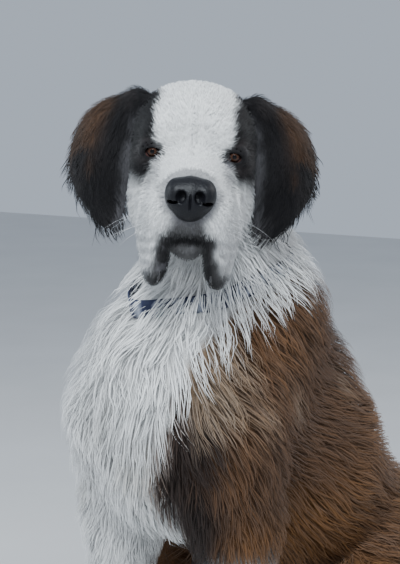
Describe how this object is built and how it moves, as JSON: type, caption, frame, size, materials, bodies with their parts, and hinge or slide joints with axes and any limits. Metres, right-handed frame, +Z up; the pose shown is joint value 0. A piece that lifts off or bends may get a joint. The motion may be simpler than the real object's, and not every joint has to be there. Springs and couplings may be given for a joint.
{
  "type": "saint bernard dog, sitting",
  "caption": "Life-size sitting Saint Bernard with a long coat, head turned to its left, dropped ears, deep flews, a collar and its tail laid on the floor.",
  "frame": {"origin": "middle of the whole dog's box, on the floor it sits on", "axes": "+Z up, -Y the way its body faces, +X to its own left; its head is turned towards +X"},
  "size_m": [0.5522, 0.8612, 0.9692],
  "materials": {
    "white_coat": "long white hair",
    "brown_coat": "long brown hair with darker tips",
    "dark_coat": "near-black hair",
    "nose_leather": "moist black pebbled skin",
    "eye": "wet brown eye",
    "webbing": "navy patterned webbing"
  },
  "bodies": {
    "root": {"head": "white_coat", "jaw": "white_coat", "nose": "nose_leather", "eye_left": "eye", "eye_right": "eye", "ear_left": "dark_coat", "ear_right": "dark_coat", "neck": "white_coat", "collar": "webbing", "chest": "white_coat", "belly": "brown_coat", "hips": "brown_coat", "upper_arm_left": "brown_coat", "upper_arm_right": "white_coat", "forearm_left": "white_coat", "forearm_right": "white_coat", "front_paw_left": "white_coat", "front_paw_right": "white_coat", "thigh_left": "brown_coat", "thigh_right": "brown_coat", "hock_left": "white_coat", "hock_right": "white_coat", "hind_paw_left": "white_coat", "hind_paw_right": "white_coat", "tail_base": "brown_coat", "tail_middle": "brown_coat", "tail_tip": "white_coat"}
  },
  "joints": []
}
